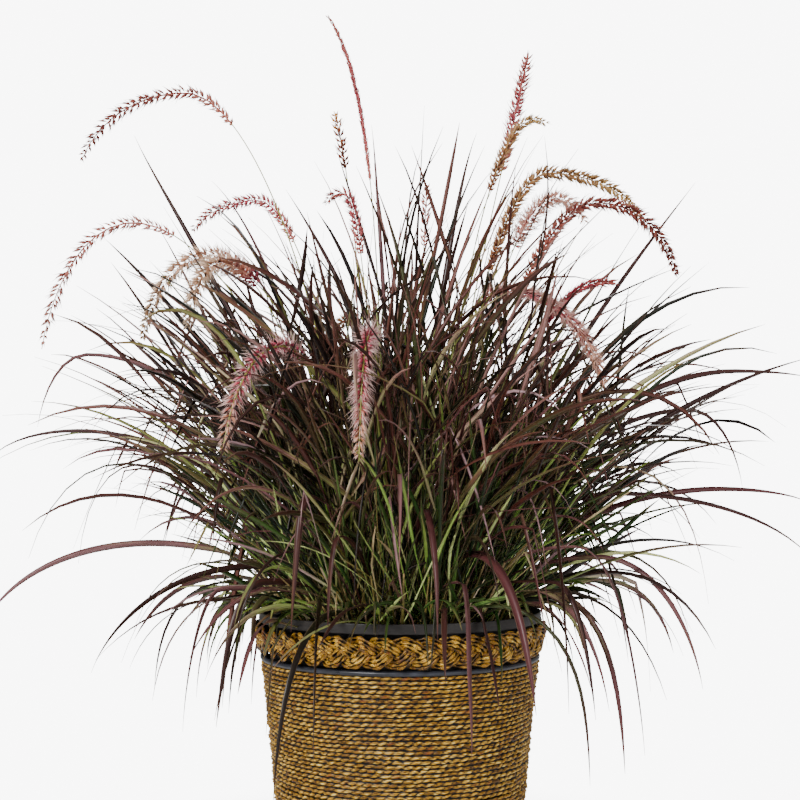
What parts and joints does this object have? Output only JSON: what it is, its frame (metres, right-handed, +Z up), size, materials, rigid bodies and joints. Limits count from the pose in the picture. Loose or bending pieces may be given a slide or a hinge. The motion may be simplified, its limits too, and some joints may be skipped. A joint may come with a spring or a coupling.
{
  "type": "potted fountain grass clump",
  "caption": "Purple fountain grass with arching leaves and bristly rose flower plumes, in a plastic grow pot set in a rope-wound basket with a braided rim.",
  "frame": {"origin": "centre of the basket's flat underside, where it stands on the floor", "axes": "+Z up; +X to the right and +Y to the back, seen from the front"},
  "size_m": [1.0447, 0.8909, 1.1254],
  "materials": {
    "seagrass_rope": "matte",
    "seagrass_braid": "matte",
    "dark_steel": "satin",
    "pot_plastic": "satin",
    "compost": "matte",
    "shoot_bases": "matte",
    "flower_head": "matte",
    "purple_leaf": "satin"
  },
  "bodies": {
    "root": {"basket_wall": "seagrass_rope", "basket_base": "seagrass_rope", "metal_hoop": "dark_steel", "braided_rim": "seagrass_braid", "grow_pot": "pot_plastic", "potting_soil": "compost", "grass_crown": "shoot_bases", "blade_back_left": "purple_leaf", "blade_back_left_low": "purple_leaf", "blade_back_mid_right": "purple_leaf", "blade_back_middle": "purple_leaf", "blade_back_right": "purple_leaf", "blade_back_right_low": "purple_leaf", "blade_far_tall_right": "purple_leaf", "blade_front_arch": "purple_leaf", "blade_front_left_fall": "purple_leaf", "blade_front_left_inner": "purple_leaf", "blade_front_reach": "purple_leaf", "blade_front_right_fall": "purple_leaf", "blade_left_drooper": "purple_leaf", "blade_left_falling": "purple_leaf", "blade_left_hanger": "purple_leaf", "blade_left_hook": "purple_leaf", "blade_left_level": "purple_leaf", "blade_left_thin_hanger": "purple_leaf", "blade_over_rim": "purple_leaf", "blade_right_drooper": "purple_leaf", "blade_right_falling": "purple_leaf", "blade_right_hanger": "purple_leaf", "blade_right_inner_hanger": "purple_leaf", "blade_right_level": "purple_leaf", "blade_right_low": "purple_leaf", "blade_right_mid": "purple_leaf", "blade_right_rising": "purple_leaf", "blade_tall_arch": "purple_leaf", "blade_tall_left": "purple_leaf", "blade_tall_middle": "purple_leaf", "blade_tall_right": "purple_leaf", "blade_upper_left": "purple_leaf", "blade_wide_mauve": "purple_leaf", "plume_back_left": "flower_head", "plume_back_right": "flower_head", "plume_back_small": "flower_head", "plume_big_right": "flower_head", "plume_curled": "flower_head", "plume_far_right": "flower_head", "plume_front_centre": "flower_head", "plume_front_left": "flower_head", "plume_high_left": "flower_head", "plume_mid_left": "flower_head", "plume_pink_front_right": "flower_head", "plume_pink_left": "flower_head", "plume_red_right": "flower_head", "plume_right_hook": "flower_head", "plume_right_tall": "flower_head", "plume_right_tuft": "flower_head", "plume_small_upright": "flower_head", "plume_tan_inner": "flower_head", "plume_tan_left": "flower_head", "plume_top": "flower_head"}
  },
  "joints": []
}
